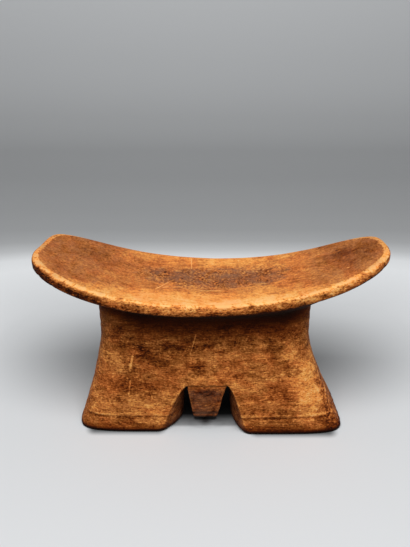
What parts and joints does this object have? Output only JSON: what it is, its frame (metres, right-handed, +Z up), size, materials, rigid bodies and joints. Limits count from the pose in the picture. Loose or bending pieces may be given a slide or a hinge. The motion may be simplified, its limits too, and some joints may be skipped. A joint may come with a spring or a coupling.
{
  "type": "wooden headrest",
  "caption": "Carved wooden headrest: a saddle-shaped head plate on a flared waisted pedestal, notched below into splayed feet and a short hanging tongue.",
  "frame": {"origin": "on the ground under the middle of the head plate: bottom centre of the bounding box", "axes": "+X along the head plate towards its narrower end, +Y from the front face to the back, +Z up"},
  "size_m": [0.24, 0.0976, 0.1339],
  "materials": {
    "dish_wood": "hand-polished by use, satin, pale worn rim, dark smear in the dish",
    "body_wood": "dark handled patina over fine horizontal grain, satin, worn edges"
  },
  "bodies": {
    "root": {"cradle": "dish_wood", "pedestal": "body_wood", "left_foot": "body_wood", "right_foot": "body_wood", "centre_tongue": "body_wood"}
  },
  "joints": []
}
